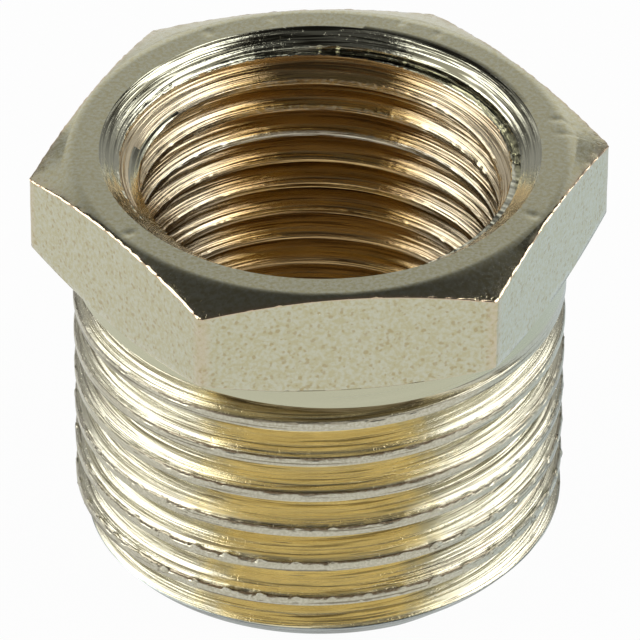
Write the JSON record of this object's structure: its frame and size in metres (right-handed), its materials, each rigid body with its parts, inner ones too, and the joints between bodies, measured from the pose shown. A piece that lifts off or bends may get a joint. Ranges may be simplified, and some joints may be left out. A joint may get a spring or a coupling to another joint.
{
  "type": "threaded adapter",
  "caption": "Hexagon reducing bush in nickel-plated brass: outside pipe thread below a hexagon head, smaller inside pipe thread right through.",
  "frame": {"origin": "centre of the threaded end face, on the axis", "axes": "+Z along the axis from the threaded end to the hexagon head; two flats of the hexagon face -Y and +Y"},
  "size_m": [0.0242, 0.021, 0.018],
  "materials": {
    "plated_brass": "nickel plated, turned and drawn, brassy in the thread grooves"
  },
  "bodies": {
    "root": {"reducing_bush": "plated_brass"}
  },
  "joints": []
}
